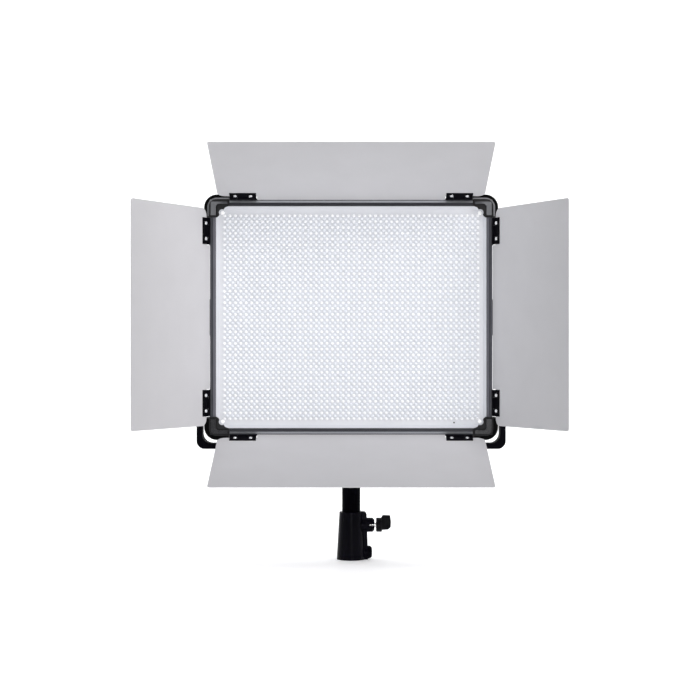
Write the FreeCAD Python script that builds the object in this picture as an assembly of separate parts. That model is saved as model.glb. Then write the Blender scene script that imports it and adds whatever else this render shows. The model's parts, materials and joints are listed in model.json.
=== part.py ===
"""Studio LED panel light with four barn doors, a U yoke and a stand collar.

Millimetres, +Z up, the light faces -Y. The origin is the centre of the mouth of the stand bore,
under the collar. Head pieces are drawn about the tilt pivot and lifted by PIVOT_Z when written.
"""

import FreeCAD
import Part
import math
import os

V = FreeCAD.Vector
X = V(1, 0, 0)
Y = V(0, 1, 0)
Z = V(0, 0, 1)

# Head frame
PIVOT_Z = 380.0  # tilt pivot above the stand bore mouth
HALF_W = 219.0  # half width of the extruded frame
HALF_H = 182.5  # half height of the extruded frame
REAR_Y = 10.0
SIDE_FACE = 9.0  # width of the side rails' front face
TOP_FACE = 10.1  # width of the top and bottom rails' front face
WIN_W = HALF_W - SIDE_FACE
WIN_H = HALF_H - TOP_FACE
BUMPER_W = 228.5  # outer face of the corner bumpers
BUMPER_H = 190.8

# Light engine
BOARD_Y = -30.0  # front face of the LED board
BOARD_T = 1.6
SPREADER_T = 3.0
SCREW_X = 200.0
SCREW_Z = 162.2

# Rear shell and its controls
SHELL_W = 208.0
SHELL_H = 171.0
SHELL_Y = 32.0
SHELL_T = 1.5
PANEL_T = 2.0
PANEL_Z = -128.0
INLET_X = -80.0
ROCKER_X = -46.0
ROCKER_PIN_R = 0.8
ROCKER_TILT = 9.0  # degrees either side of level
DISPLAY_X = -8.0
CCT_X = 36.0
DIMMER_X = 76.0

# Barn doors
SHEET = 1.2
SHEET_START = 4.2  # from the hinge axis, beside and beyond the hinges
TB_TONGUE = 9.0  # how far the sheet runs back past the axis between the hinges
LR_TONGUE = 4.7
BRACKET_SCREW_XS = (-12.0, 12.0)
BRACKET_SCREW_Y = 15.0  # behind the hinge axis
BRACKET_INNER = -2.5  # the bracket plate's faces, outward from the hinge axis
BRACKET_OUTER = -0.7
KNUCKLE_R = 3.2
PIN_R = 1.5
HINGE_L = 41.0
PLATE_REACH = 15.5
RIVET_AT = 8.0  # from the hinge axis
RIVET_GAP = 24.0
TB_AXIS_Y = -46.5
TB_AXIS_Z = 185.0
TB_HINGE_X = 167.0
TB_REACH = 184.0
TB_OPEN = 70.0  # degrees from lying flat outward
LR_AXIS_Y = -43.5
LR_AXIS_X = 221.5
LR_HINGE_Z = 133.0
LR_REACH = 200.0
LEFT_OPEN = 61.6
RIGHT_OPEN = 63.0

# Tilt pivots, yoke, post and collar
PLATE_T = 3.0  # pivot plate
WASHER_T = 3.0  # friction washer
YOKE_IN = 233.5
YOKE_T = 8.5
YOKE_DEEP = 30.0
YOKE_BAR_TOP = 182.7
YOKE_BEND = 7.5  # outer corner, cut at 45 degrees and rounded
YOKE_INNER_R = 15.0
BOLT_R = 5.0
POST_R = 14.3
POST_FOOT = 36.0
BORE_R = 14.4
BORE_DEEP = 34.0
COLLAR_H = 75.0
COLLAR_R_TOP = 18.6
COLLAR_R_BASE = 22.8
T_SCREW_Z = 54.0
LOCK_SCREW_Z = 11.0
LOCK_HEAD_R = 10.2
LOCK_SEAT_X = 26.6  # the collar's flat face under the lock screw's head


def box(x0, x1, y0, y1, z0, z1):
    return Part.makeBox(x1 - x0, y1 - y0, z1 - z0, V(x0, y0, z0))


def rod(base, axis, radius, length):
    return Part.makeCylinder(radius, length, V(*base), axis)


def tube(base, axis, outer, inner, length):
    return rod(base, axis, outer, length).cut(rod(base, axis, inner, length))


def fused(shapes):
    whole = shapes[0]
    if len(shapes) > 1:
        whole = whole.multiFuse(shapes[1:])
    return whole.removeSplitter()


def together(shapes):
    return Part.makeCompound(shapes)


def prism(points, way):
    """A prism on a closed outline of points, pushed along a vector."""
    outline = [V(*p) for p in points]
    return Part.Face(Part.makePolygon(outline + outline[:1])).extrude(way)


def plate_y(half_x, half_z, radius, y0, y1):
    """A plate across Y with round corners."""
    solid = box(-half_x, half_x, y0, y1, -half_z, half_z)
    return solid.makeFillet(radius, edges_along_y(solid))


def along_x(shape, centres):
    return [shape.translated(V(x, 0, 0)) for x in centres]


def mirror_x(shape):
    return shape.mirror(V(0, 0, 0), X)


def mirror_z(shape):
    return shape.mirror(V(0, 0, 0), Z)


def edges_along_y(solid, min_x=-1e6, min_z=-1e6):
    """The edges that run front to back, past a given X and Z."""
    along = [e for e in solid.Edges if abs(abs(e.tangentAt(0).y) - 1) < 1e-6]
    return [e for e in along if e.CenterOfMass.x > min_x and e.CenterOfMass.z > min_z]


def four_corners(shape):
    """The shape drawn for the +X +Z corner, and its three mirror images."""
    right = [shape, mirror_z(shape)]
    return right + [mirror_x(s) for s in right]


def write(name, shape, lift=PIVOT_Z):
    shape.translated(V(0, 0, lift)).exportStep("parts/" + name + ".step")


# ---------------------------------------------------------------- extruded frame

TOP_PROFILE = [
    (0, -36.8), (1.6, -36.8), (5.0, -40), (9.0, -40), (10.1, -38.4), (10.1, -28.4), (8.6, -28.4),
    (8.6, -37.5), (5.4, -37.5), (2, -34.4), (2, 8), (8.1, 8), (8.1, 5), (10.1, 5), (10.1, 10),
    (0, 10),
]
SIDE_PROFILE = [
    (0, -38.5), (1.5, -40), (4.0, -40), (4.5, -39.0), (5.0, -39.9), (9, -37.4), (9, -28.4),
    (7.5, -28.4), (7.5, -36.2), (2, -36.2), (2, 8), (7, 8), (7, 5), (9, 5), (9, 10), (0, 10),
]


def rail_top():
    points = [(-HALF_W, y, HALF_H - u) for u, y in TOP_PROFILE]
    return prism(points, V(2 * HALF_W, 0, 0))


def rail_right():
    points = [(HALF_W - u, y, -WIN_H) for u, y in SIDE_PROFILE]
    return prism(points, V(0, 0, 2 * WIN_H))


def corner_cap():
    """A moulded L on the front corner: a raised rib in a moat, and a bite round the board screw."""
    base = prism([(188.5, -41.8, 184), (188.5, -41.8, 172.8), (195.5, -41.8, 170.0),
                  (198.0, -41.8, 166.0), (203.5, -41.8, 160.5), (205.0, -41.8, 157.0),
                  (208.0, -41.8, 154.5), (220.3, -41.8, 154.5), (220.3, -41.8, 184)], V(0, 1.8, 0))
    skirt = box(188.5, 220.3, -40, -35.8, 154.5, 184)
    skirt = skirt.cut(box(180, HALF_W + 0.05, -41, -35, 150, HALF_H + 0.05))
    whole = base.fuse(skirt).removeSplitter()
    whole = whole.makeFillet(11, edges_along_y(whole, 220, 183))
    whole = whole.cut(cap_rib(1.5, -42.9, 2.3)).fuse(cap_rib(0, -42.9, 2.4)).removeSplitter()
    return whole.cut(rod((SCREW_X, -45, SCREW_Z), Y, 5.0, 12))


def cap_rib(grow, y, deep):
    """The L-shaped rib on a corner cap, grown all round for its moat."""
    ends = 191.8 - grow
    foot = 157.8 - grow
    far_x = 217.6 + grow
    far_z = 181.1 + grow
    near_x = 209.6 - grow
    near_z = 175.2 - grow
    points = [
        (ends, y, far_z), (ends, y, near_z), (near_x - 3, y, near_z), (near_x, y, near_z - 3),
        (near_x, y, foot), (far_x, y, foot), (far_x, y, far_z),
    ]
    rib = prism(points, V(0, deep, 0))
    return rib.makeFillet(5.5 + grow, edges_along_y(rib, far_x - 1, far_z - 1))


def bumper():
    """A rubber guard wrapped round one outer corner, behind the cap."""
    block = box(190.5, BUMPER_W, -35.6, 28, 157, BUMPER_H)
    block = block.makeFillet(20, edges_along_y(block, BUMPER_W - 1, BUMPER_H - 1))
    rims = [
        e for e in block.Edges
        if abs(e.CenterOfMass.y + 35.6) < 0.1 or abs(e.CenterOfMass.y - 28) < 0.1
    ]
    block = block.makeChamfer(1.8, [e for e in rims if e.CenterOfMass.x > 191 and e.CenterOfMass.z > 157.5])
    block = block.cut(box(150, HALF_W + 0.05, -45, 40, 100, HALF_H + 0.05))
    grooves = [box(180, 240, y, y + 2, 150, 200) for y in (-18, -4, 10)]
    inner = box(150, BUMPER_W - 1.6, -45, 40, 100, BUMPER_H - 1.6)
    inner = inner.makeFillet(19, edges_along_y(inner, BUMPER_W - 3, BUMPER_H - 3))
    return block.cut(together([g.cut(inner) for g in grooves]))


# ---------------------------------------------------------------- light engine


def reflector_ring():
    """The white sloped border between the window's edge and the LED board."""
    outer = box(-WIN_W + 0.3, WIN_W - 0.3, -37.6, BOARD_Y, -WIN_H + 0.3, WIN_H - 0.3)
    front = [(-208.9, -171.3), (208.9, -171.3), (208.9, 171.3), (-208.9, 171.3)]
    back = [(-204.6, -167.3), (204.6, -167.3), (204.6, 167.3), (-204.6, 167.3)]
    wires = []
    for corners, y in ((front, -37.7), (back, BOARD_Y + 0.1)):
        points = [V(x, y, z) for x, z in corners]
        wires.append(Part.makePolygon(points + points[:1]))
    return outer.cut(Part.makeLoft(wires, True, True))


def led_board():
    board = box(-209, 209, BOARD_Y, BOARD_Y + BOARD_T, -170, 170)
    holes = four_corners(rod((SCREW_X, BOARD_Y - 1, SCREW_Z), Y, 1.7, 5))
    return board.cut(together(holes))


def heat_spreader():
    y0 = BOARD_Y + BOARD_T
    plate = box(-215, 215, y0, y0 + SPREADER_T, -177, 177)
    holes = four_corners(rod((SCREW_X, y0 - 1, SCREW_Z), Y, 1.55, 6))
    return plate.cut(together(holes))


def board_screws():
    head = rod((SCREW_X, BOARD_Y - 2.2, SCREW_Z), Y, 2.8, 2.2)
    rim = [e for e in head.Edges if abs(e.CenterOfMass.y - BOARD_Y + 2.2) < 0.01]
    head = head.makeFillet(1.0, rim)
    screw = head.fuse(rod((SCREW_X, BOARD_Y, SCREW_Z), Y, 1.5, 4.5)).removeSplitter()
    slot = box(SCREW_X - 1.6, SCREW_X + 1.6, -33, -31.2, SCREW_Z - 0.35, SCREW_Z + 0.35)
    return together(four_corners(screw.cut(slot)))


def sensor():
    return rod((160, BOARD_Y - 1.2, -163.8), Y, 1.2, 1.2)


def heat_sink():
    """A finned extrusion behind the heat spreader."""
    y0 = BOARD_Y + BOARD_T + SPREADER_T
    base = box(-190, 190, y0, y0 + 3, -85, 160)
    fins = [box(x - 0.8, x + 0.8, y0 + 3, 22, -85, 160) for x in range(-182, 190, 14)]
    return fused([base] + fins)


# ---------------------------------------------------------------- rear shell and controls


def rear_shell():
    flange = plate_y(HALF_W - 2, HALF_H - 2, 8, REAR_Y, REAR_Y + SHELL_T)
    pan = plate_y(SHELL_W, SHELL_H, 12, REAR_Y, SHELL_Y)
    rims = [e for e in pan.Edges if abs(e.CenterOfMass.y - SHELL_Y) < 0.01]
    pan = pan.makeFillet(4, rims)
    hollow = plate_y(SHELL_W - SHELL_T, SHELL_H - SHELL_T, 10.5, REAR_Y - 1, SHELL_Y - SHELL_T)
    shell = flange.fuse(pan).removeSplitter().cut(hollow)
    slots = []
    for row in (112, 62, 12):
        for i in range(-11, 12):
            x = i * 15.0
            slots.append(box(x - 2, x + 2, SHELL_Y - 4, SHELL_Y + 4, row - 20, row + 20))
    window = box(-98, 98, SHELL_Y - 4, SHELL_Y + 4, PANEL_Z - 26, PANEL_Z + 26)
    screws = [rod((x, REAR_Y - 1, z), Y, 1.7, 5) for x, z in shell_screw_places()]
    return shell.cut(together(slots + [window] + screws))


def shell_screw_places():
    places = [(x, z) for x in (-180, -60, 60, 180) for z in (-176, 176)]
    return places + [(x, z) for x in (-212.5, 212.5) for z in (-70, 70)]


def shell_screws():
    """All the rear screws, which are alike: round the shell's flange and the panel's corners."""
    places = [(x, REAR_Y + SHELL_T, z) for x, z in shell_screw_places()]
    for x in (-99, 99):
        places += [(x, SHELL_Y + PANEL_T, PANEL_Z + z) for z in (-26, 26)]
    screws = []
    for x, y, z in places:
        head = Part.makeCone(2.9, 1.9, 1.8, V(x, y, z), Y)
        screws.append(head.cut(rod((x, y + 0.8, z), Y, 1.1, 2)))
    return together(screws)


def control_panel():
    """The fascia that closes the opening in the rear shell and carries the controls."""
    panel = plate_y(104, 31, 5, SHELL_Y, SHELL_Y + PANEL_T)
    y0 = SHELL_Y - 1
    holes = [
        rod((INLET_X, y0, 0), Y, 11.2, 5),
        box(ROCKER_X - 7, ROCKER_X + 7, y0, y0 + 5, -11, 11),
        box(DISPLAY_X - 19, DISPLAY_X + 19, y0, y0 + 5, -9, 9),
        rod((CCT_X, y0, 0), Y, 3.6, 5),
        rod((DIMMER_X, y0, 0), Y, 3.6, 5),
    ]
    return panel.cut(together(holes)).translated(V(0, 0, PANEL_Z))


def power_inlet():
    """A round chassis connector with four contacts."""
    y = SHELL_Y + PANEL_T
    shell = tube((INLET_X, 14, 0), Y, 11.0, 9.4, y - 14 + 1.4)
    flange = tube((INLET_X, y, 0), Y, 13.5, 9.4, 1.4)
    core = rod((INLET_X, 14, 0), Y, 9.4, 10)
    pins = []
    for turn in (45, 135, 225, 315):
        a = math.radians(turn)
        place = (INLET_X + 5 * math.cos(a), 23, 5 * math.sin(a))
        pins.append(rod(place, Y, 1.1, 9))
    return fused([shell, flange, core] + pins).translated(V(0, 0, PANEL_Z))


def rocker_housing():
    y = SHELL_Y + PANEL_T
    bezel = box(ROCKER_X - 8.5, ROCKER_X + 8.5, y, y + 1.6, -12.5, 12.5)
    body = box(ROCKER_X - 6.8, ROCKER_X + 6.8, 18, y + 0.1, -10.8, 10.8)
    cavity = box(ROCKER_X - 5.8, ROCKER_X + 5.8, 22, y + 3, -9.9, 9.9)
    sockets = rod((ROCKER_X - 6.6, y, 0), X, ROCKER_PIN_R + 0.05, 13.2)
    return fused([bezel, body]).cut(together([cavity, sockets])).translated(V(0, 0, PANEL_Z))


def rocker():
    """The switch paddle on its two trunnions, drawn pressed at its upper end."""
    points = [(0, -8.9), (4.2, -8.9), (2.6, 0), (4.2, 8.9), (0, 8.9), (-4, 2), (-4, -2)]
    outline = [(ROCKER_X - 5.4, y, z) for y, z in points]
    trunnions = rod((ROCKER_X - 6.4, 0, 0), X, ROCKER_PIN_R, 12.8)
    paddle = fused([prism(outline, V(10.8, 0, 0)), trunnions])
    paddle = paddle.rotated(V(0, 0, 0), X, ROCKER_TILT)
    return paddle.translated(V(0, SHELL_Y + PANEL_T, PANEL_Z))


def display_window():
    window = box(DISPLAY_X - 18.8, DISPLAY_X + 18.8, SHELL_Y + 0.4, SHELL_Y + 2.4, -8.8, 8.8)
    return window.translated(V(0, 0, PANEL_Z))


def display_module():
    return box(DISPLAY_X - 17, DISPLAY_X + 17, 25.6, 32.1, -8, 8).translated(V(0, 0, PANEL_Z))


def control_board():
    board = box(-30, 96, 24, 25.6, -22, 22)
    return board.translated(V(0, 0, PANEL_Z))


def board_posts():
    posts = [rod((x, 25.6, z), Y, 2.5, 6.4) for x in (-24, 90) for z in (-17, 17)]
    return together(posts).translated(V(0, 0, PANEL_Z))


def encoders():
    parts = []
    for x in (CCT_X, DIMMER_X):
        body = box(x - 6.5, x + 6.5, 25.6, 31.6, -6.5, 6.5)
        parts.append(body.fuse(rod((x, 31.6, 0), Y, 3.0, 12)).removeSplitter())
    return together(parts).translated(V(0, 0, PANEL_Z))


def control_knob(x):
    """A ribbed knob with a pointer groove and a blind bore for the shaft."""
    y = SHELL_Y + PANEL_T + 0.5
    body = rod((x, y, 0), Y, 11.5, 14.5)
    rim = [e for e in body.Edges if abs(e.CenterOfMass.y - y - 14.5) < 0.01]
    body = body.makeFillet(1.2, rim)
    ribs = []
    for i in range(20):
        a = math.radians(18 * i)
        ribs.append(rod((x + 12.1 * math.cos(a), y + 3, 12.1 * math.sin(a)), Y, 1.0, 9))
    pointer = box(x - 0.5, x + 0.5, y + 13.9, y + 15, 2.5, 10)
    bore = rod((x, y - 1, 0), Y, 3.05, 11.4)
    body = body.cut(together(ribs + [pointer, bore]))
    return body.translated(V(0, 0, PANEL_Z))


def driver_box():
    """The power supply, screwed to the heat spreader below the heat sink."""
    y0 = BOARD_Y + BOARD_T + SPREADER_T
    case = box(-150, -20, y0 + 6, 8, -160, -98)
    feet = [rod((x, y0, z), Y, 4, 6) for x in (-143, -27) for z in (-153, -105)]
    return fused([case] + feet)


# ---------------------------------------------------------------- barn door hinges


def knuckles(spans, bore):
    return [tube((a, 0, 0), X, KNUCKLE_R, bore, b - a) for a, b in spans]


def hinge_frame_half():
    """Frame half of a hinge. The axis is X through 0. The plate lies behind it, along +Y."""
    half = HINGE_L / 2
    plate = box(-half, half, 0, 26, BRACKET_INNER, BRACKET_OUTER)
    plate = plate.cut(box(-9.3, 9.3, -5, 3.7, -4, 4))
    plate = plate.cut(together([rod((x, BRACKET_SCREW_Y, -4), Z, 2.1, 6) for x in BRACKET_SCREW_XS]))
    barrels = knuckles([(-half, -9.2), (9.2, half)], PIN_R + 0.02)
    bore = rod((-half, 0, 0), X, PIN_R + 0.02, HINGE_L)
    return fused([plate] + barrels).cut(bore)


def hinge_leaf_half():
    """Door half of a hinge. The leaf runs along +Y, its inner face towards +Z."""
    half = HINGE_L / 2
    plate = box(-half, half, 0, PLATE_REACH, 0, 1.2)
    sides = [box(-half - 1, -8.9, -5, 3.7, -4, 4), box(8.9, half + 1, -5, 3.7, -4, 4)]
    bore = rod((-half, 0, 0), X, PIN_R + 0.06, HINGE_L)
    holes = [rod((x, RIVET_AT, -1), Z, 1.7, 4) for x in (-RIVET_GAP / 2, RIVET_GAP / 2)]
    whole = fused([plate.cut(together(sides))] + knuckles([(-8.9, 8.9)], PIN_R + 0.06))
    return whole.cut(together([bore] + holes))


def rivet():
    """A domed rivet through the plate and the sheet, on the hinge's own axes."""
    head = rod((0, RIVET_AT, 1.2), Z, 3.0, 1.4)
    rim = [e for e in head.Edges if abs(e.CenterOfMass.z - 2.6) < 0.01]
    head = head.makeFillet(1.1, rim)
    shank = rod((0, RIVET_AT, -SHEET), Z, 1.6, SHEET + 1.2)
    tail = rod((0, RIVET_AT, -SHEET - 0.9), Z, 2.6, 0.9)
    return fused([head, shank, tail])


def hinge_pin():
    return rod((-HINGE_L / 2, 0, 0), X, PIN_R, HINGE_L)


def leaf_sheet(half_hinge, half_free, reach, behind, centres):
    """A door's sheet. The hinge axis is X through 0 and the sheet runs along +Y, under Z = 0."""
    points = [
        (-half_hinge, SHEET_START), (half_hinge, SHEET_START), (half_free, reach), (-half_free, reach),
    ]
    sheet = prism([(x, y, -SHEET) for x, y in points], V(0, 0, SHEET))
    upright = [e for e in sheet.Edges if abs(abs(e.tangentAt(0).z) - 1) < 1e-6]
    sheet = sheet.makeFillet(12, [e for e in upright if e.CenterOfMass.y < SHEET_START + 1])
    upright = [e for e in sheet.Edges if abs(e.CenterOfMass.y - reach) < 0.01 and e.Length < 2]
    sheet = sheet.makeFillet(4, upright)
    between = max(centres) - HINGE_L / 2 - 1
    tongue = box(-between, between, -behind, SHEET_START + 1, -SHEET, 0)
    holes = []
    for c in centres:
        for x in (c - RIVET_GAP / 2, c + RIVET_GAP / 2):
            holes.append(rod((x, RIVET_AT, -SHEET - 1), Z, 1.7, SHEET + 2))
    return fused([sheet, tongue]).cut(together(holes))


def on_top_frame(shape):
    return shape.translated(V(0, TB_AXIS_Y, TB_AXIS_Z))


def on_top_door(shape):
    """From door axes to the top door, open by TB_OPEN from flat outward."""
    return on_top_frame(shape.rotated(V(0, 0, 0), X, 90 + TB_OPEN))


def to_right(shape):
    """Turn the top side of the head a quarter about Y, so that it becomes the +X side."""
    return shape.rotated(V(0, 0, 0), Y, 90)


def side_shift(shape):
    """From the turned top hinge line to the side doors' own hinge line."""
    return shape.translated(V(LR_AXIS_X - TB_AXIS_Z, LR_AXIS_Y - TB_AXIS_Y, 0))


def on_side_door(shape, opening):
    """From door axes to the +X door, open by an angle from flat outward."""
    turned = shape.rotated(V(0, 0, 0), X, 90 + opening)
    return side_shift(to_right(on_top_frame(turned)))


def on_right_door(shape):
    return on_side_door(shape, RIGHT_OPEN)


def on_left_door(shape):
    return mirror_x(on_side_door(shape, LEFT_OPEN))


def door(place, half_hinge, half_free, reach, behind, centres):
    """The sheet, hinge plates and rivets of one door, put in place."""
    rivets = []
    for c in centres:
        rivets += along_x(rivet(), (c - RIVET_GAP / 2, c + RIVET_GAP / 2))
    sheet = place(leaf_sheet(half_hinge, half_free, reach, behind, centres))
    plates = place(together(along_x(hinge_leaf_half(), centres)))
    return sheet, plates, place(together(rivets))


def write_doors():
    tops = door(on_top_door, 206.0, 207.8, TB_REACH, TB_TONGUE, (-TB_HINGE_X, TB_HINGE_X))
    side = (168.0, 168.0, LR_REACH, LR_TONGUE, (-LR_HINGE_Z, LR_HINGE_Z))
    lefts = door(on_left_door, *side)
    rights = door(on_right_door, *side)
    for kind, top, left, right in zip(("leaf", "hinge_plates", "rivets"), tops, lefts, rights):
        write(kind + "_top", top)
        write(kind + "_bottom", mirror_z(top))
        write(kind + "_left", left)
        write(kind + "_right", right)


def on_every_hinge(shape):
    tops = [on_top_frame(s) for s in along_x(shape, (-TB_HINGE_X, TB_HINGE_X))]
    rights = [side_shift(to_right(on_top_frame(s))) for s in along_x(shape, (-LR_HINGE_Z, LR_HINGE_Z))]
    both = tops + [mirror_z(s) for s in tops]
    return together(both + rights + [mirror_x(s) for s in rights])


def hinge_brackets():
    """The eight frame halves, which are all alike."""
    return on_every_hinge(hinge_frame_half())


# ---------------------------------------------------------------- tilt pivots


def pivot_plate():
    face = HALF_W + PLATE_T
    plate = box(HALF_W, face, -24, 6, -28, 28)
    boss = rod((face, 0, 0), X, 12, YOKE_IN - WASHER_T - 0.3 - face)
    boss = boss.fuse(Part.makeCone(14.5, 12, 3, V(face, 0, 0), X))
    plate = fused([plate.fuse(rod((HALF_W, 0, 0), X, 14.5, PLATE_T)), boss])
    holes = [rod((HALF_W - 1, -9, z), X, 2.1, 6) for z in (-21, 21)]
    bore = rod((HALF_W - 3, 0, 0), X, BOLT_R + 0.02, 20)
    return plate.cut(together(holes + [bore]))


def frame_screw(grip):
    """A button head socket screw along Z, seated on Z = 0, through a plate of thickness grip."""
    head = rod((0, 0, 0), Z, 3.6, 2.2)
    rim = [e for e in head.Edges if abs(e.CenterOfMass.z - 2.2) < 0.01]
    head = head.makeFillet(1.2, rim)
    shank = rod((0, 0, 0.1 - grip), Z, 2.0, grip)
    return head.fuse(shank).removeSplitter().cut(rod((0, 0, 1.0), Z, 1.3, 2))


def frame_screws():
    """The screws that hold the hinge brackets and the pivot plates to the frame."""
    on_bracket = []
    for x in BRACKET_SCREW_XS:
        screw = frame_screw(BRACKET_OUTER - BRACKET_INNER)
        on_bracket.append(screw.translated(V(x, BRACKET_SCREW_Y, BRACKET_OUTER)))
    screws = on_every_hinge(together(on_bracket)).Solids
    for z in (-21, 21):
        screw = frame_screw(PLATE_T).rotated(V(0, 0, 0), Y, 90).translated(V(HALF_W + PLATE_T, -9, z))
        screws += [screw, mirror_x(screw)]
    return together(screws)


def pivot_bolt():
    return rod((HALF_W + 0.1, 0, 0), X, BOLT_R, 262 - HALF_W - 0.1)


def friction_washer():
    return tube((YOKE_IN - WASHER_T, 0, 0), X, 14, BOLT_R + 0.4, WASHER_T)


def outer_washer():
    return tube((YOKE_IN + YOKE_T, 0, 0), X, 12, BOLT_R + 0.4, 1.5)


def tilt_knob():
    """A six-lobed clamping knob on the end of the pivot bolt."""
    x = YOKE_IN + YOKE_T + 1.8
    collar = rod((x, 0, 0), X, 11, 6)
    grip = rod((x + 6, 0, 0), X, 20, 17)
    rims = [e for e in grip.Edges if e.Length > 100]
    grip = grip.makeFillet(2.5, rims)
    scallops = []
    for i in range(6):
        a = math.radians(60 * i + 30)
        scallops.append(rod((x + 5, 24 * math.cos(a), 24 * math.sin(a)), X, 8, 20))
    bore = rod((x - 1, 0, 0), X, BOLT_R + 0.3, 20.6)
    return fused([collar, grip.cut(together(scallops))]).cut(bore)


# ---------------------------------------------------------------- yoke, post and collar (absolute Z)


def bent_side(half_x, z0, z1, cut):
    """A slab across the yoke's depth, with its two lower corners cut at 45 degrees and eased."""
    slab = box(-half_x, half_x, -YOKE_DEEP / 2, YOKE_DEEP / 2, z0, z1)
    low = [e for e in edges_along_y(slab) if e.CenterOfMass.z < z0 + 0.1]
    slab = slab.makeChamfer(cut, low)
    eased = [e for e in edges_along_y(slab) if e.CenterOfMass.z < z0 + cut + 0.1]
    return slab.makeFillet(cut * 1.5, eased)


def yoke():
    outer = bent_side(YOKE_IN + YOKE_T, YOKE_BAR_TOP - YOKE_T, PIVOT_Z, YOKE_BEND)
    inner = box(-YOKE_IN, YOKE_IN, -YOKE_DEEP / 2, YOKE_DEEP / 2, YOKE_BAR_TOP, PIVOT_Z + 1)
    inner = inner.makeFillet(YOKE_INNER_R, [e for e in edges_along_y(inner) if e.CenterOfMass.z < PIVOT_Z])
    ends = [rod((x, 0, PIVOT_Z), X, YOKE_DEEP / 2, YOKE_T) for x in (-YOKE_IN - YOKE_T, YOKE_IN)]
    frame = fused([outer.cut(inner)] + ends)
    cross = rod((-260, 0, PIVOT_Z), X, BOLT_R + 0.4, 520)
    centre = rod((0, 0, 170), Z, BOLT_R + 0.05, 20)
    return frame.cut(together([cross, centre]))


def post():
    top = YOKE_BAR_TOP - YOKE_T
    shaft = rod((0, 0, POST_FOOT), Z, POST_R, top - POST_FOOT)
    foot = [e for e in shaft.Edges if abs(e.CenterOfMass.z - POST_FOOT) < 0.01]
    shaft = shaft.makeChamfer(1.5, foot)
    flange = rod((0, 0, top - 6), Z, 23, 6)
    rim = [e for e in flange.Edges if abs(e.CenterOfMass.z - top + 6) < 0.01]
    flange = flange.makeChamfer(2, rim)
    waist = tube((0, 0, T_SCREW_Z - 6.5), Z, 20, 12.8, 13)
    bore = rod((0, 0, top - 26), Z, BOLT_R + 0.02, 27)
    return fused([shaft, flange]).cut(waist).cut(bore)


def post_bolt():
    head = rod((0, 0, YOKE_BAR_TOP), Z, 9, 4)
    rim = [e for e in head.Edges if abs(e.CenterOfMass.z - YOKE_BAR_TOP - 4) < 0.01]
    head = head.makeFillet(2.4, rim)
    shank = rod((0, 0, YOKE_BAR_TOP - 30), Z, BOLT_R, 30)
    socket = rod((0, 0, YOKE_BAR_TOP + 1.4), Z, 3, 4)
    return fused([head, shank]).cut(socket)


def collar():
    """A tapered casting: post bore above, stand bore below, with a lug for both clamp screws."""
    cone = Part.makeCone(COLLAR_R_BASE, COLLAR_R_TOP, COLLAR_H, V(0, 0, 0), Z)
    lip = [e for e in cone.Edges if abs(e.CenterOfMass.z - COLLAR_H) < 0.01]
    cone = cone.makeChamfer(0.8, lip)
    points = [(8, 0), (26.6, 0), (25.6, 37), (24.4, 71), (22.5, 74.4), (19.5, 75.6), (8, 75.6)]
    lug = prism([(x, -8, z) for x, z in points], V(0, 16, 0))
    upright = [e for e in lug.Edges if e.CenterOfMass.x > 23 and abs(e.tangentAt(0).y) < 0.1]
    lug = lug.makeFillet(2.5, [e for e in upright if abs(abs(e.CenterOfMass.y) - 8) < 0.1])
    boss = rod((14, 0, T_SCREW_Z), X, 11.3, 22.6)
    boss = boss.makeChamfer(3, [e for e in boss.Edges if abs(e.CenterOfMass.x - 36.6) < 0.01])
    seat = rod((14, 0, LOCK_SCREW_Z), X, LOCK_HEAD_R, LOCK_SEAT_X - 14)
    body = fused([cone, lug, boss, seat])
    post_bore = rod((0, 0, BORE_DEEP + 2), Z, POST_R + 0.06, 60)
    stand_bore = rod((0, 0, -1), Z, BORE_R, BORE_DEEP + 1)
    drain = rod((0, 0, 10), Z, 6, 40)
    screw_bore = rod((10, 0, T_SCREW_Z), X, 4.08, 30)
    lock_bore = rod((10, 0, LOCK_SCREW_Z), X, 4.02, 30)
    split = box(28.5, 40, -14, 0, T_SCREW_Z - 1.4, T_SCREW_Z + 1.4)
    return body.cut([post_bore, stand_bore, drain, screw_bore, lock_bore, split])


def lock_screw():
    """The domed socket screw low on the collar, which clamps the stand's spigot."""
    shank = rod((14.8, 0, LOCK_SCREW_Z), X, 4, 12.2)
    head = rod((LOCK_SEAT_X + 0.1, 0, LOCK_SCREW_Z), X, LOCK_HEAD_R, 6.2)
    rim = [e for e in head.Edges if abs(e.CenterOfMass.x - 32.9) < 0.01]
    head = head.makeFillet(5.6, rim)
    socket = rod((30.2, 0, LOCK_SCREW_Z), X, 3.2, 4)
    return fused([shank, head]).cut(socket)


def t_screw():
    return rod((13.2, 0, T_SCREW_Z), X, 4, 33)


def t_knob():
    """The wing knob: a round hub with two flat wings."""
    hub = rod((39.2, 0, T_SCREW_Z), X, 11.2, 9.4)
    rims = [e for e in hub.Edges if e.Length > 60]
    hub = hub.makeChamfer(1.0, rims)
    points = [(44, -6), (50, -8), (58, -7.5), (62.2, -4), (62.8, 4), (61.4, 15), (49.6, 15.4), (46, 9)]
    wing = prism([(x, -3.4, z) for x, z in points], V(0, 6.8, 0))
    wing = wing.makeFillet(1.6, [e for e in wing.Edges if e.CenterOfMass.x > 47])
    wing = wing.translated(V(0, 0, T_SCREW_Z))
    bore = rod((38, 0, T_SCREW_Z), X, 4.02, 8.25)
    return fused([hub, wing]).cut(bore)


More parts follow.
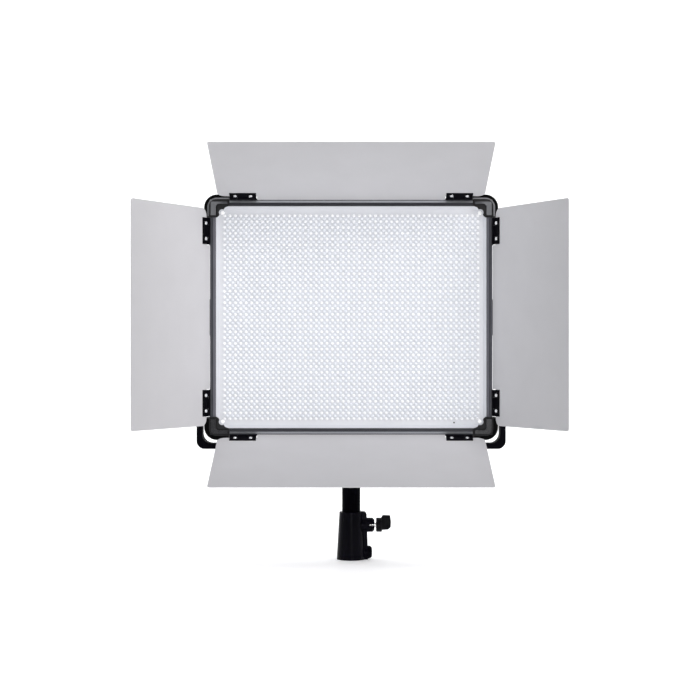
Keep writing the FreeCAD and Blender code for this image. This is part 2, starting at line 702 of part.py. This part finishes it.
def write_frame():
    write("rail_top", rail_top())
    write("rail_bottom", mirror_z(rail_top()))
    write("rail_right", rail_right())
    write("rail_left", mirror_x(rail_right()))
    names = ("upper_right", "lower_right", "upper_left", "lower_left")
    for name, cap, guard in zip(names, four_corners(corner_cap()), four_corners(bumper())):
        write("cap_" + name, cap)
        write("bumper_" + name, guard)
    write("hinge_brackets", hinge_brackets())
    write("hinge_pins", on_every_hinge(hinge_pin()))


def write_light():
    write("reflector_ring", reflector_ring())
    write("led_board", led_board())
    write("heat_spreader", heat_spreader())
    write("board_screws", board_screws())
    write("sensor", sensor())
    write("heat_sink", heat_sink())
    write("driver_box", driver_box())


def write_rear():
    write("rear_shell", rear_shell())
    write("shell_screws", shell_screws())
    write("control_panel", control_panel())
    write("power_inlet", power_inlet())
    write("rocker_housing", rocker_housing())
    write("power_rocker", rocker())
    write("display_window", display_window())
    write("display_module", display_module())
    write("control_board", control_board())
    write("board_posts", board_posts())
    write("encoders", encoders())
    write("cct_knob", control_knob(CCT_X))
    write("dimmer_knob", control_knob(DIMMER_X))


def write_mount():
    for name, shape in (
        ("pivot_plates", pivot_plate()),
        ("pivot_bolts", pivot_bolt()),
        ("friction_washers", friction_washer()),
        ("outer_washers", outer_washer()),
    ):
        write(name, together([shape, mirror_x(shape)]))
    write("frame_screws", frame_screws())
    write("tilt_knob_right", tilt_knob())
    write("tilt_knob_left", mirror_x(tilt_knob()))
    write("yoke", yoke(), 0)
    write("post", post(), 0)
    write("post_bolt", post_bolt(), 0)
    write("collar", collar(), 0)
    write("lock_screw", lock_screw(), 0)
    write("t_screw", t_screw(), 0)
    write("t_knob", t_knob(), 0)


os.makedirs("parts", exist_ok=True)
write_frame()
write_light()
write_rear()
write_doors()
write_mount()
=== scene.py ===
"""The looks of a studio LED panel with barn doors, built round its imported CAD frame. Metres, +Z up."""

import bpy
import json
import math
from itertools import product
from mathutils import Matrix, Vector


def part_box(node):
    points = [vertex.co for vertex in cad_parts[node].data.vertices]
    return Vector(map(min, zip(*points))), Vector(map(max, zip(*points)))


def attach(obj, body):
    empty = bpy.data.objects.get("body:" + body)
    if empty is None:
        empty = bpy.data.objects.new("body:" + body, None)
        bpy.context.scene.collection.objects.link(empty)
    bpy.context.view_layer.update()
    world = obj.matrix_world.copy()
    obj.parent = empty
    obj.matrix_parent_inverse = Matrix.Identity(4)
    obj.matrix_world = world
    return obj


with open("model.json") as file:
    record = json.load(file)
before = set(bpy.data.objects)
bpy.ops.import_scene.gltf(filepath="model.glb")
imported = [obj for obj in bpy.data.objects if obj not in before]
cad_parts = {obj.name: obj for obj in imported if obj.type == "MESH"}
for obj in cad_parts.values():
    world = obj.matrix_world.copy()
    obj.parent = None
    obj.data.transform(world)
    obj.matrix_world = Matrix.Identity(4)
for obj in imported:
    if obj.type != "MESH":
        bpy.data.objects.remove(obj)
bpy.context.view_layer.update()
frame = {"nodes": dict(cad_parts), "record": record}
nodes = frame["nodes"]

# LED beads, on the board
BEAD_R = 0.0025
BEAD_H = 0.0052
BEAD_COLUMNS = 48
BEAD_ROWS = 36
PITCH_X = 0.00838
PITCH_Z = 0.00902
BEAD_SIDES = 10

# Materials
NOISE_LOW = 0.3  # nearly all of a noise lies between these
NOISE_HIGH = 0.7
MOTTLE_SCALE = 22.0
ROUGH_SPREAD = 0.07
RELIEF = 0.6
SLOPE_MIN = 0.64  # a rail's sloped faces, by how far they face forward
SLOPE_MAX = 0.92
# Painted highlights on those sloped faces, for the top and bottom rails and for the side rails
SLOPE_HIGHLIGHT_X = (0.38, 0.39, 0.42)
SLOPE_HIGHLIGHT_Z = (0.12, 0.12, 0.14)
PAD_EDGE = 0.0005  # the pads on the caps begin this far behind their front
PAD_TOP = 0.1789  # above the middle of the head
# The pads' own dark colour, and the paler painted highlight of the upper pads
PAD_LOW = (0.0045, 0.0045, 0.0065)
PAD_PAINTED_HIGHLIGHT = (0.068, 0.07, 0.077)
PAD_ROUGH = 0.25
PAD_SLOPE = 0.36
CORNER_X = 0.2085  # the middle of the round at each corner, from the middle of the head
CORNER_Z = 0.1708
RIM_INNER = 0.0122  # the rim of painted highlight between cap and bumper, from there
RIM_OUTER = 0.0150
RIM_HIGHLIGHT = (0.2, 0.2, 0.21)
DOOR_DEPTHS = (-0.045, -0.2217)  # of a door's hinge and outer edge at rest
DOOR_PAINTED_LIGHT = (1.15, 0.9)  # painted light at those two: paler at the hinge, darker at the outer edge
INLET_CORE_Y = 0.0243  # the inlet's insulator ends just before this depth
INLET_CORE = (0.01, 0.01, 0.01)

# White marks on the rear controls
TICKS = 11
TICK_TURN = 150  # degrees to either side
TICK_INNER = 0.0140
TICK_OUTER = 0.0162
TICK_HALF = 0.00025
PAINT = 0.0002  # thickness
POINTER_DOWN = 0.0005  # from a knob's face to the middle of its pointer line
POINTER_OUT = 0.00625  # from the knob's axis
POINTER_HALF = (0.00045, 0.0001, 0.0034)
ROCKER_PRESSED = 9.0  # degrees at rest
ROCKER_SLOPE = 10.2  # degrees from one half of the paddle's face to its middle
MARK_OUT = 0.00345  # from the rocker's axis
MARK_UP = 0.0046
BAR_HALF = (0.0003, PAINT / 2, 0.0016)
RING_R = 0.0016
RING_DOTS = 16
DOT_HALF = (0.00033, PAINT / 2, 0.00033)

# Backdrop
FLOOR_HALF = 6.0
FLOOR_FRONT = -5.0
WALL_Y = 3.0
WALL_TOP = 5.0
BEND_R = 1.2
BEND_STEPS = 12

# Camera, level with the middle of the post's upper end
CAMERA_PLACE = (-0.0018, -2.54, 0.3291)
CAMERA_LENS = 82.95
CAMERA_SENSOR = 36


def middle(node):
    low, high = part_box(node)
    return [(a + b) / 2 for a, b in zip(low, high)]


# ---------------------------------------------------------------- materials


def linked(tree, source, target):
    tree.links.new(source, target)


def shader_of(material):
    return material.node_tree.nodes["Principled BSDF"]


def source_of(material, name):
    """What is linked to an input of a material's shader so far."""
    return shader_of(material).inputs[name].links[0].from_socket


def split_vector(tree, kind):
    """The X, Y and Z of a texture coordinate, such as Object for place or Normal for facing."""
    place = tree.nodes.new("ShaderNodeTexCoord")
    split = tree.nodes.new("ShaderNodeSeparateXYZ")
    linked(tree, place.outputs[kind], split.inputs["Vector"])
    return split.outputs


def noise(tree, scale, detail=4.0, stretch=(1, 1, 1)):
    """Noise in the object's own coordinates, optionally stretched for grain."""
    place = tree.nodes.new("ShaderNodeTexCoord")
    mapping = tree.nodes.new("ShaderNodeMapping")
    mapping.inputs["Scale"].default_value = stretch
    texture = tree.nodes.new("ShaderNodeTexNoise")
    texture.inputs["Scale"].default_value = scale
    texture.inputs["Detail"].default_value = detail
    linked(tree, place.outputs["Object"], mapping.inputs["Vector"])
    linked(tree, mapping.outputs["Vector"], texture.inputs["Vector"])
    return texture.outputs["Fac"]


def mapped(tree, value, start, end, low, high):
    """Carry a value's span from start to end over to low and high, and hold it there beyond."""
    node = tree.nodes.new("ShaderNodeMapRange")
    for name, number in zip(("From Min", "From Max", "To Min", "To Max"), (start, end, low, high)):
        node.inputs[name].default_value = number
    linked(tree, value, node.inputs["Value"])
    return node.outputs["Result"]


def shades(tree, value, dark, light):
    node = tree.nodes.new("ShaderNodeValToRGB")
    for stop, place, colour in zip(node.color_ramp.elements, (NOISE_LOW, NOISE_HIGH), (dark, light)):
        stop.position = place
        stop.color = (*colour, 1)
    linked(tree, value, node.inputs["Fac"])
    return node.outputs["Color"]


def bumped(tree, shader, value, distance):
    node = tree.nodes.new("ShaderNodeBump")
    node.inputs["Strength"].default_value = RELIEF
    node.inputs["Distance"].default_value = distance
    linked(tree, value, node.inputs["Height"])
    linked(tree, node.outputs["Normal"], shader.inputs["Normal"])


def surface(name, colour, rough, grain, bump, mottle=0.12, metal=0.0, shine=0.5, stretch=(1, 1, 1)):
    """A surface with broad mottling of colour, worn roughness and a fine grain in relief."""
    material = bpy.data.materials.new(name)
    material.use_nodes = True
    tree = material.node_tree
    shader = shader_of(material)
    shader.inputs["Metallic"].default_value = metal
    shader.inputs["Specular IOR Level"].default_value = shine
    broad = noise(tree, MOTTLE_SCALE)
    fine = noise(tree, grain, 3.0, stretch)
    dark = [c * (1 - mottle) for c in colour]
    light = [min(1.0, c * (1 + mottle)) for c in colour]
    linked(tree, shades(tree, broad, dark, light), shader.inputs["Base Color"])
    worn = mapped(tree, fine, NOISE_LOW, NOISE_HIGH, rough - ROUGH_SPREAD, rough + ROUGH_SPREAD)
    linked(tree, worn, shader.inputs["Roughness"])
    bumped(tree, shader, fine, bump)
    return material


def fed(tree, values, sockets):
    """Give each input its value, which is a socket to link or a constant."""
    for value, socket in zip(values, sockets):
        if hasattr(value, "is_output"):
            linked(tree, value, socket)
        else:
            socket.default_value = value


def arithmetic(tree, operation, *values):
    step = tree.nodes.new("ShaderNodeMath")
    step.operation = operation
    fed(tree, values, step.inputs)
    return step.outputs["Value"]


def blend(tree, kind, factor, *values):
    """Mix two values, each of them a socket or a constant."""
    mix = tree.nodes.new("ShaderNodeMix")
    mix.data_type = kind
    linked(tree, factor, mix.inputs[0])
    fed(tree, values, [n for n in mix.inputs if n.enabled and n.name in ("A", "B")])
    return [n for n in mix.outputs if n.enabled][0]


def all_true(tree, first, *rest):
    """One mask from several."""
    for test in rest:
        first = arithmetic(tree, "MULTIPLY", first, test)
    return first


def past(tree, value, start):
    """How far a value is past a start, or 0."""
    return arithmetic(tree, "MAXIMUM", arithmetic(tree, "SUBTRACT", value, start), 0.0)


def replace_where(material, mask, kind, name, value):
    """Change one input of a material's shader where a mask is 1."""
    tree = material.node_tree
    mixed = blend(tree, kind, mask, source_of(material, name), value)
    linked(tree, mixed, shader_of(material).inputs[name])


def pad_with_painted_highlight(material, face_y, middle_z):
    """A smooth pad ahead of a depth, which above a height is paler, a painted highlight for the light
    from above, and is shaded as if it fell away.
    """
    tree = material.node_tree
    place = split_vector(tree, "Object")
    ahead = arithmetic(tree, "LESS_THAN", place["Y"], face_y)
    below = arithmetic(tree, "LESS_THAN", place["Z"], middle_z + PAD_TOP)
    pad = all_true(tree, ahead, below)
    high = arithmetic(tree, "GREATER_THAN", place["Z"], middle_z)
    # Painted highlight: a paler colour on the upper pads than on the lower ones
    colour = blend(tree, "RGBA", high, (*PAD_LOW, 1), (*PAD_PAINTED_HIGHLIGHT, 1))
    fall = arithmetic(tree, "MULTIPLY", past(tree, place["Z"], middle_z), -PAD_SLOPE)
    dome = tree.nodes.new("ShaderNodeBump")
    dome.inputs["Strength"].default_value = 1.0
    dome.inputs["Distance"].default_value = 1.0
    linked(tree, fall, dome.inputs["Height"])
    linked(tree, source_of(material, "Normal"), dome.inputs["Normal"])
    replace_where(material, pad, "RGBA", "Base Color", colour)
    replace_where(material, pad, "FLOAT", "Roughness", PAD_ROUGH)
    replace_where(material, pad, "VECTOR", "Normal", dome.outputs["Normal"])


def dark_before(material, face_y, colour):
    """Another colour on everything ahead of a depth."""
    tree = material.node_tree
    ahead = arithmetic(tree, "LESS_THAN", split_vector(tree, "Object")["Y"], face_y)
    replace_where(material, ahead, "RGBA", "Base Color", (*colour, 1))


def painted_door_light(material, depths, painted_light_levels):
    """Painted light on the inner faces of the doors: paler at the hinge, darker towards the outer edge.
    """
    tree = material.node_tree
    level = mapped(tree, split_vector(tree, "Object")["Y"], *depths, *painted_light_levels)
    inner = arithmetic(tree, "LESS_THAN", split_vector(tree, "Normal")["Y"], 0.0)
    scaled = tree.nodes.new("ShaderNodeVectorMath")
    scaled.operation = "SCALE"
    linked(tree, source_of(material, "Base Color"), scaled.inputs[0])
    linked(tree, blend(tree, "FLOAT", inner, 1.0, level), scaled.inputs["Scale"])
    linked(tree, scaled.outputs["Vector"], shader_of(material).inputs["Base Color"])


def painted_rim_highlight(material, middle_z):
    """A painted highlight: a paler line round the front of the two upper corners."""
    tree = material.node_tree
    place = split_vector(tree, "Object")
    across = past(tree, arithmetic(tree, "ABSOLUTE", place["X"]), CORNER_X)
    up = past(tree, place["Z"], middle_z + CORNER_Z)
    squares = [arithmetic(tree, "MULTIPLY", value, value) for value in (across, up)]
    reach = arithmetic(tree, "SQRT", arithmetic(tree, "ADD", *squares))
    rim = all_true(
        tree,
        arithmetic(tree, "GREATER_THAN", place["Z"], middle_z),
        arithmetic(tree, "GREATER_THAN", reach, RIM_INNER),
        arithmetic(tree, "LESS_THAN", reach, RIM_OUTER),
        arithmetic(tree, "LESS_THAN", split_vector(tree, "Normal")["Y"], -SLOPE_MAX),
    )
    # Painted highlight on the rim
    replace_where(material, rim, "RGBA", "Base Color", (*RIM_HIGHLIGHT, 1))


def painted_slope_highlight(material, colour):
    """A painted highlight: a paler colour on the faces that slope between front and side."""
    tree = material.node_tree
    facing = arithmetic(tree, "MULTIPLY", split_vector(tree, "Normal")["Y"], -1.0)
    over = arithmetic(tree, "GREATER_THAN", facing, SLOPE_MIN)
    under = arithmetic(tree, "LESS_THAN", facing, SLOPE_MAX)
    replace_where(material, all_true(tree, over, under), "RGBA", "Base Color", (*colour, 1))


def glow(material, colour, strength):
    shader_of(material).inputs["Emission Color"].default_value = (*colour, 1)
    shader_of(material).inputs["Emission Strength"].default_value = strength


BRUSH_X = (0.06, 1, 1)
BRUSH_Z = (1, 1, 0.06)
RAIL = dict(mottle=0.08, metal=0.1, shine=0.4)

# Colour, roughness, grain per metre and its relief in metres, then what differs from the plain case
FINISHES = {
    # The top and bottom rails and the side rails share one black anodised profile; their two tones are
    # painted light, for how the light falls on each
    "rail_x_painted_light": ((0.02, 0.021, 0.027), 0.36, 900, 1e-5, dict(RAIL, stretch=BRUSH_X)),
    "rail_z_painted_light": ((0.05, 0.052, 0.062), 0.36, 900, 1e-5, dict(RAIL, stretch=BRUSH_Z)),
    "cap": ((0.002, 0.002, 0.0025), 0.75, 1500, 5e-5, dict(mottle=0.15)),
    "rubber": ((0.002, 0.002, 0.002), 0.8, 1100, 2e-4, dict(mottle=0.25, shine=0.05)),
    "reflector": ((0.6, 0.61, 0.65), 0.4, 600, 3e-5, dict(mottle=0.02)),
    "board": ((0.6, 0.61, 0.64), 0.5, 800, 3e-5, dict(mottle=0.02)),
    "screw_white": ((0.95, 0.95, 0.96), 0.35, 1400, 3e-5, dict(mottle=0.02, metal=0.3)),
    "steel": ((0.82, 0.82, 0.82), 0.24, 1400, 3e-5, dict(mottle=0.05, metal=1.0)),
    "black_steel": ((0.0016, 0.0014, 0.003), 0.6, 1600, 1e-4, dict(mottle=0.2, shine=0.03)),
    "post": ((0.0005, 0.0004, 0.0015), 0.6, 1600, 1e-4, dict(mottle=0.2, shine=0.02)),
    "door": ((0.53, 0.525, 0.535), 0.5, 1300, 1e-5, dict(mottle=0.015, shine=0.3)),
    "shell": ((0.012, 0.012, 0.014), 0.5, 1500, 1.5e-4, dict(mottle=0.15, shine=0.3)),
    "collar": ((0.0018, 0.0016, 0.004), 0.2, 900, 5e-5, dict(mottle=0.2, shine=0.05)),
    "knob": ((0.003, 0.003, 0.004), 0.4, 1500, 1.5e-4, dict(mottle=0.2, shine=0.08)),
    "bare": ((0.7, 0.7, 0.71), 0.38, 900, 5e-5, dict(mottle=0.05, metal=1.0, stretch=BRUSH_Z)),
    "paint": ((0.8, 0.8, 0.8), 0.6, 1500, 2e-5, dict(mottle=0.04)),
    "sensor": ((0.02, 0.02, 0.025), 0.2, 1500, 2e-5, dict(mottle=0.1)),
    "panel": ((0.006, 0.006, 0.007), 0.5, 1800, 1.5e-4, dict(mottle=0.15, shine=0.3)),
    "lens": ((0.008, 0.01, 0.013), 0.12, 900, 1e-5, dict(mottle=0.1)),
    "circuit": ((0.03, 0.17, 0.08), 0.4, 500, 1e-4, dict(mottle=0.2)),
    "rocker": ((0.32, 0.015, 0.015), 0.3, 1500, 4e-5, dict(mottle=0.1)),
    "inlet": ((0.32, 0.32, 0.33), 0.35, 1200, 5e-5, dict(mottle=0.1, metal=1.0)),
    "bead_bright": ((0.8, 0.81, 0.83), 0.2, 900, 1e-5, dict(mottle=0.01)),
    "bead_soft": ((0.74, 0.76, 0.8), 0.2, 900, 1e-5, dict(mottle=0.01)),
    "pale_floor": ((0.93, 0.93, 0.93), 0.7, 40, 1e-4, dict(mottle=0.005)),
}
# The board, the reflector and the screws are no lamps: their glow is painted light
GLOWS = {
    "reflector": ((0.97, 0.98, 1), 0.12),
    "board": ((0.97, 0.98, 1), 0.13),
    "screw_white": ((1, 1, 1), 0.35),
    "bead_bright": ((1, 1, 1), 0.2),
    "bead_soft": ((0.9, 0.94, 1), 0.14),
    "pale_floor": ((1, 1, 1), 0.25),
}


def all_looks():
    made = {}
    for name, (colour, rough, grain, bump, rest) in FINISHES.items():
        made[name] = surface(name, colour, rough, grain, bump, **rest)
    for name, (colour, strength) in GLOWS.items():
        glow(made[name], colour, strength)
    # Painted highlights on the rails' sloped faces
    painted_slope_highlight(made["rail_x_painted_light"], SLOPE_HIGHLIGHT_X)
    painted_slope_highlight(made["rail_z_painted_light"], SLOPE_HIGHLIGHT_Z)
    head_z = middle("led_board")[2]
    # Painted highlight on the caps' upper pads
    pad_with_painted_highlight(made["cap"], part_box("cap_upper_right")[0][1] + PAD_EDGE, head_z)
    # A painted highlight rim round the upper corners, on cap and bumper
    painted_rim_highlight(made["cap"], head_z)
    painted_rim_highlight(made["rubber"], head_z)
    # Painted light on the doors' inner faces
    painted_door_light(made["door"], DOOR_DEPTHS, DOOR_PAINTED_LIGHT)
    dark_before(made["inlet"], INLET_CORE_Y, INLET_CORE)
    return made


look = all_looks()

# The look of each material slot, and of the nodes that have their own
slot_look = {
    "frame_anodised": "rail_x_painted_light", "cap_moulded": "cap", "bumper_rubber": "rubber", "board_white": "board",
    "reflector_white": "reflector", "bright_steel": "steel", "black_steel": "black_steel",
    "door_coat": "door", "shell_coat": "shell", "collar_coat": "collar", "knob_plastic": "knob",
    "plain_aluminium": "bare", "sensor_dark": "sensor", "panel_plastic": "panel", "display_lens": "lens",
    "circuit_green": "circuit", "rocker_plastic": "rocker", "inlet_metal": "inlet",
}
own_look = {"rail_left": "rail_z_painted_light", "rail_right": "rail_z_painted_light", "board_screws": "screw_white", "post": "post"}

# Width of the eased edges on the nodes of a slot
edge_round = {
    "frame_anodised": 0.0003, "cap_moulded": 0.0005, "bumper_rubber": 0.0005, "collar_coat": 0.0005,
    "knob_plastic": 0.0004, "shell_coat": 0.0003, "panel_plastic": 0.0003, "black_steel": 0.0003,
}


def soften_edges(node, width):
    """A small round on a node's sharp edges, which catches the light."""
    bevel = nodes[node].modifiers.new("edges", "BEVEL")
    bevel.width = width
    bevel.segments = 2
    bevel.limit_method = "ANGLE"
    bevel.angle_limit = math.radians(40)
    bevel.harden_normals = True


def dress_nodes():
    for part in frame["record"]["subparts"]:
        name = part["node"]
        kind = own_look.get(name, slot_look[part["material_slot"]])
        mesh = nodes[name].data
        mesh.materials.clear()
        mesh.materials.append(look[kind])
        if part["material_slot"] in edge_round:
            soften_edges(name, edge_round[part["material_slot"]])


# ---------------------------------------------------------------- pieces added to the frame


def mesh_object(name, points, faces, material, smooth=True):
    mesh = bpy.data.meshes.new(name)
    mesh.from_pydata(points, [], faces)
    mesh.materials.append(material)
    if smooth:
        mesh.shade_smooth()
    piece = bpy.data.objects.new(name, mesh)
    bpy.context.scene.collection.objects.link(piece)
    return piece


def bead_shape():
    """Rings of one bead, from its foot to its crown: (radius, height above the board)."""
    wall = BEAD_H - BEAD_R
    rings = [(BEAD_R, 0.0), (BEAD_R, wall)]
    for step in (1, 2):
        a = math.radians(30 * step)
        rings.append((BEAD_R * math.cos(a), wall + BEAD_R * math.sin(a)))
    return rings


def add_bead(points, faces, x, y, z):
    start = len(points)
    rings = bead_shape()
    for radius, height in rings:
        for i in range(BEAD_SIDES):
            a = math.tau * i / BEAD_SIDES
            points.append((x + radius * math.cos(a), y - height, z + radius * math.sin(a)))
    points.append((x, y - BEAD_H, z))
    crown = len(points) - 1
    for r in range(len(rings) - 1):
        low = start + r * BEAD_SIDES
        for i in range(BEAD_SIDES):
            j = (i + 1) % BEAD_SIDES
            faces.append((low + i, low + j, low + BEAD_SIDES + j, low + BEAD_SIDES + i))
    top = crown - BEAD_SIDES
    for i in range(BEAD_SIDES):
        faces.append((top + i, top + (i + 1) % BEAD_SIDES, crown))


def add_beads(name, columns, rows, kind):
    """One field of beads, centred on the board."""
    x0, _, z0 = middle("led_board")
    y0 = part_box("led_board")[0][1]
    points = []
    faces = []
    for row in range(rows):
        for column in range(columns):
            x = x0 + (column - (columns - 1) / 2) * PITCH_X
            z = z0 + (row - (rows - 1) / 2) * PITCH_Z
            add_bead(points, faces, x, y0, z)
    piece = mesh_object(name, points, faces, look[kind])
    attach(piece, "head")


def painted(name, points, faces, body):
    piece = mesh_object(name, points, faces, look["paint"], smooth=False)
    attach(piece, body)


def bar(points, faces, centre, half, turn_x=0.0, turn_y=0.0):
    """A small block with its own half sizes, turned about X and then about Y."""
    start = len(points)
    turn = Matrix.Rotation(turn_y, 3, "Y") @ Matrix.Rotation(turn_x, 3, "X")
    for sx, sy, sz in product((-1, 1), repeat=3):
        corner = turn @ Vector((sx * half[0], sy * half[1], sz * half[2]))
        points.append(tuple(Vector(centre) + corner))
    for face in ((0, 1, 3, 2), (4, 6, 7, 5), (0, 4, 5, 1), (2, 3, 7, 6), (0, 2, 6, 4), (1, 5, 7, 3)):
        faces.append(tuple(start + i for i in face))


def dial_ticks():
    """Ticks round each knob, over the knob's own travel."""
    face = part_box("control_panel")[1][1]
    points = []
    faces = []
    half = (TICK_HALF, PAINT / 2, (TICK_OUTER - TICK_INNER) / 2)
    reach = (TICK_OUTER + TICK_INNER) / 2
    for knob in ("cct_knob", "dimmer_knob"):
        x, _, z = middle(knob)
        for i in range(TICKS):
            a = math.radians(TICK_TURN * (2 * i / (TICKS - 1) - 1))
            centre = (x + reach * math.sin(a), face + PAINT / 2, z + reach * math.cos(a))
            bar(points, faces, centre, half, turn_y=a)
    painted("dial_ticks", points, faces, "head")


def knob_line(knob):
    """Paint in the floor of a knob's pointer groove."""
    x, _, z = middle(knob)
    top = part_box(knob)[1][1]
    points = []
    faces = []
    bar(points, faces, (x, top - POINTER_DOWN, z + POINTER_OUT), POINTER_HALF)
    painted(knob.replace("knob", "pointer"), points, faces, knob)


def rocker_marks():
    """A bar on the upper half of the rocker and a ring on the lower half."""
    x = middle("rocker_housing")[0]
    pivot = Vector((x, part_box("control_panel")[1][1], middle("control_panel")[2]))
    pressed = Matrix.Rotation(math.radians(ROCKER_PRESSED), 3, "X")
    points = []
    faces = []
    for up in (1, -1):
        lean = math.radians(ROCKER_PRESSED - up * ROCKER_SLOPE)
        centre = pivot + pressed @ Vector((0, MARK_OUT, up * MARK_UP))
        if up == 1:
            bar(points, faces, centre, BAR_HALF, turn_x=lean)
            continue
        for i in range(RING_DOTS):
            a = math.tau * i / RING_DOTS
            spot = Vector((RING_R * math.cos(a), 0, RING_R * math.sin(a)))
            spot.rotate(Matrix.Rotation(lean, 3, "X"))
            bar(points, faces, centre + spot, DOT_HALF, turn_x=lean)
    painted("rocker_marks", points, faces, "power_rocker")


# ---------------------------------------------------------------- room, lights and camera


def backdrop():
    """A pale floor that curves up into a wall behind the light."""
    bend_y = WALL_Y - BEND_R
    line = [(FLOOR_FRONT, 0.0), (bend_y, 0.0)]
    for i in range(1, BEND_STEPS + 1):
        a = math.radians(90 * i / BEND_STEPS)
        line.append((bend_y + BEND_R * math.sin(a), BEND_R - BEND_R * math.cos(a)))
    line.append((WALL_Y, WALL_TOP))
    points = [(x, y, z) for y, z in line for x in (-FLOOR_HALF, FLOOR_HALF)]
    faces = [(2 * i, 2 * i + 1, 2 * i + 3, 2 * i + 2) for i in range(len(line) - 1)]
    mesh_object("backdrop", points, faces, look["pale_floor"])


def area_light(name, place, aim, size, power, colour=(1, 1, 1)):
    light = bpy.data.lights.new(name, "AREA")
    light.shape = "SQUARE"
    light.size = size
    light.energy = power
    light.color = colour
    lamp = bpy.data.objects.new(name, light)
    lamp.location = place
    lamp.rotation_euler = (Vector(aim) - Vector(place)).to_track_quat("-Z", "Y").to_euler()
    bpy.context.scene.collection.objects.link(lamp)


def sky():
    """Soft light from all round, weakest from in front, so that black parts keep their depth.

    Where it is seen directly it is as pale as the floor.
    """
    world = bpy.data.worlds.new("sky")
    world.use_nodes = True
    tree = world.node_tree
    level = mapped(tree, split_vector(tree, "Generated")["Y"], -1.0, 0.6, 0.3, 0.75)
    seen = tree.nodes.new("ShaderNodeLightPath").outputs["Is Camera Ray"]
    background = tree.nodes["Background"]
    background.inputs["Color"].default_value = (0.96, 0.97, 1, 1)
    linked(tree, blend(tree, "FLOAT", seen, level, 1.0), background.inputs["Strength"])
    bpy.context.scene.world = world


def room():
    sky()
    aim = (0, 0, 0.38)
    area_light("key", (1.8, -2.5, 1.7), aim, 1.4, 41, (1, 0.97, 0.975))
    area_light("front", (0, -2.2, 2.5), aim, 1.2, 16, (0.97, 0.98, 1))
    area_light("fill", (-2.6, -2.0, 1.2), aim, 2.0, 2, (0.85, 0.9, 1))
    area_light("streak", (0.15, -2.4, 0.2), (0, 0, 0.1), 0.2, 2)
    area_light("top", (0, 0.3, 3.0), aim, 2.4, 27, (0.93, 0.96, 1))
    area_light("wall", (0, 0.9, 2.6), (0, 3, 0.6), 3.0, 38)
    bpy.context.scene.view_settings.view_transform = "Standard"


def camera():
    data = bpy.data.cameras.new("camera")
    data.sensor_width = CAMERA_SENSOR
    data.lens = CAMERA_LENS
    body = bpy.data.objects.new("camera", data)
    body.location = CAMERA_PLACE
    body.rotation_euler = (math.radians(90), 0, 0)
    bpy.context.scene.collection.objects.link(body)
    bpy.context.scene.camera = body


dress_nodes()
add_beads("led_beads_bright", BEAD_COLUMNS, BEAD_ROWS, "bead_bright")
add_beads("led_beads_soft", BEAD_COLUMNS - 1, BEAD_ROWS - 1, "bead_soft")
dial_ticks()
knob_line("cct_knob")
knob_line("dimmer_knob")
rocker_marks()
backdrop()
room()
camera()
